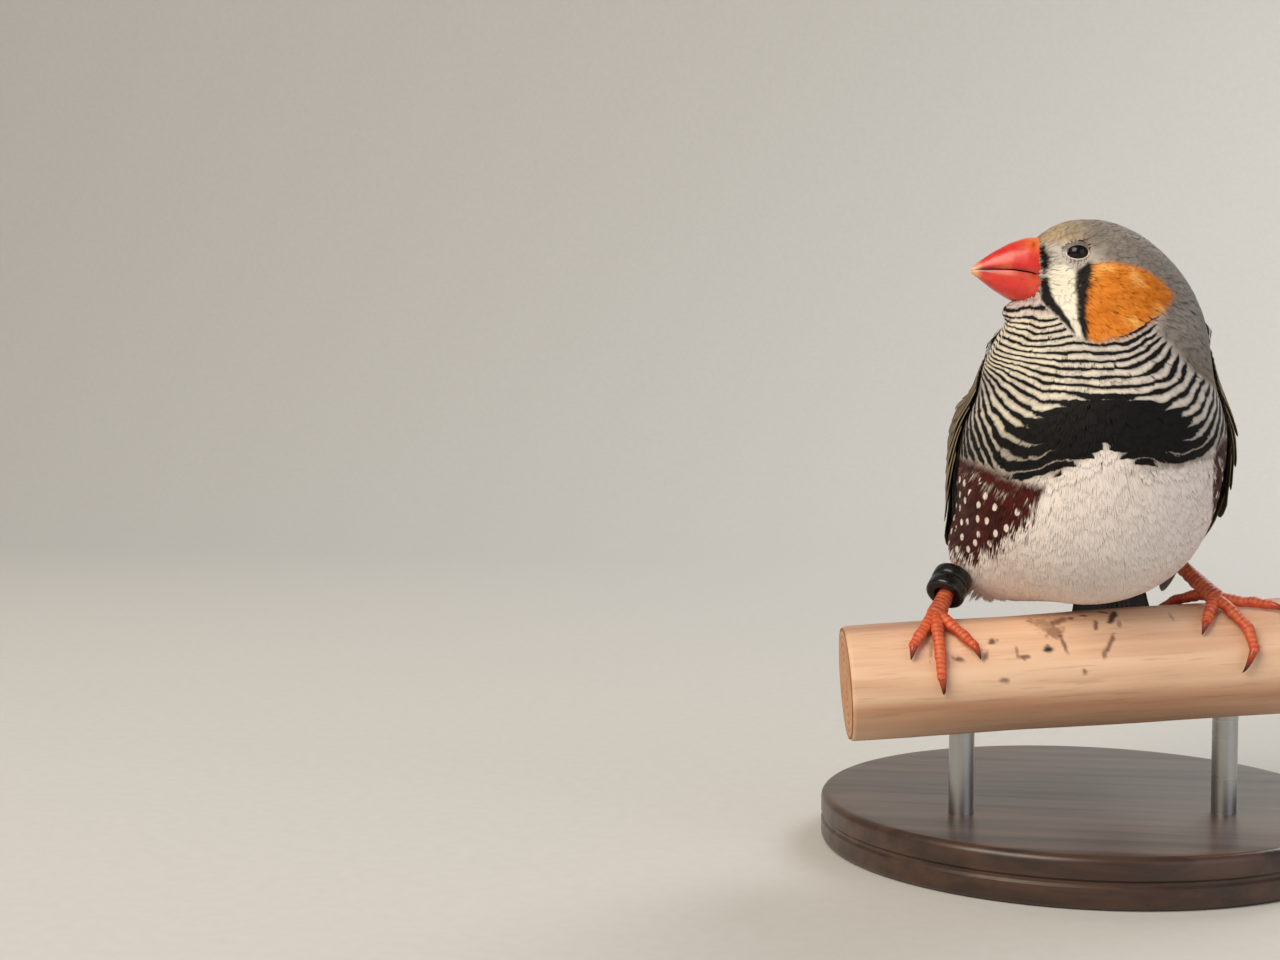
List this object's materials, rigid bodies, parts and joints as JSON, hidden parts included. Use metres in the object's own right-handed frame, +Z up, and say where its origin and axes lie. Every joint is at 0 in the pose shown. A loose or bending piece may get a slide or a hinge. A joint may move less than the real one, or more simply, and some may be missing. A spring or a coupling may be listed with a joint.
{
  "type": "zebra finch model on a branch stand",
  "caption": "Life-size still model of a plump cock zebra finch gripping a cut length of peeled branch, its head turned aside, held over a plain round base by upright rods.",
  "frame": {"origin": "middle of the round base's underside", "axes": "+Z up, -Y the way the bird's breast faces, +X towards the bird's own left; the head is turned to the bird's right, -X"},
  "size_m": [0.086, 0.086, 0.1018],
  "materials": {
    "pale_feather": "soft white belly feathers with a warm shade",
    "barred_feather": "cream to grey-white throat feathers crossed by thin black bars, black across the breast",
    "grey_feather": "finely mottled grey feathers, with an orange cheek and a white stripe under the eye",
    "brown_feather": "olive-brown flight feathers and coverts with paler edges",
    "black_feather": "black-brown tail feathers under black coverts barred with white",
    "red_horn": "coral red horn, satin, orange by the face and pale at the tip",
    "eye": "wet dark brown eye, almost black",
    "orange_scale": "orange-red scaled skin, dull on the shank and toes, with darker claws",
    "black_plastic": "glossy black split ring",
    "peeled_branch": "pale peeled wood with faint grain, scratches and dark stains",
    "steel": "plain ground rod",
    "dark_oak": "dark stained oak, satin varnish"
  },
  "bodies": {
    "root": {"torso": "pale_feather", "neck": "barred_feather", "head": "grey_feather", "bill_upper": "red_horn", "bill_lower": "red_horn", "eye_left": "eye", "eye_right": "eye", "wing_left": "brown_feather", "wing_right": "brown_feather", "tail": "black_feather", "leg_left": "orange_scale", "leg_right": "orange_scale", "foot_left": "orange_scale", "foot_right": "orange_scale", "leg_ring": "black_plastic", "perch": "peeled_branch", "stand_rod_left": "steel", "stand_rod_right": "steel", "stand_base": "dark_oak"}
  },
  "joints": []
}
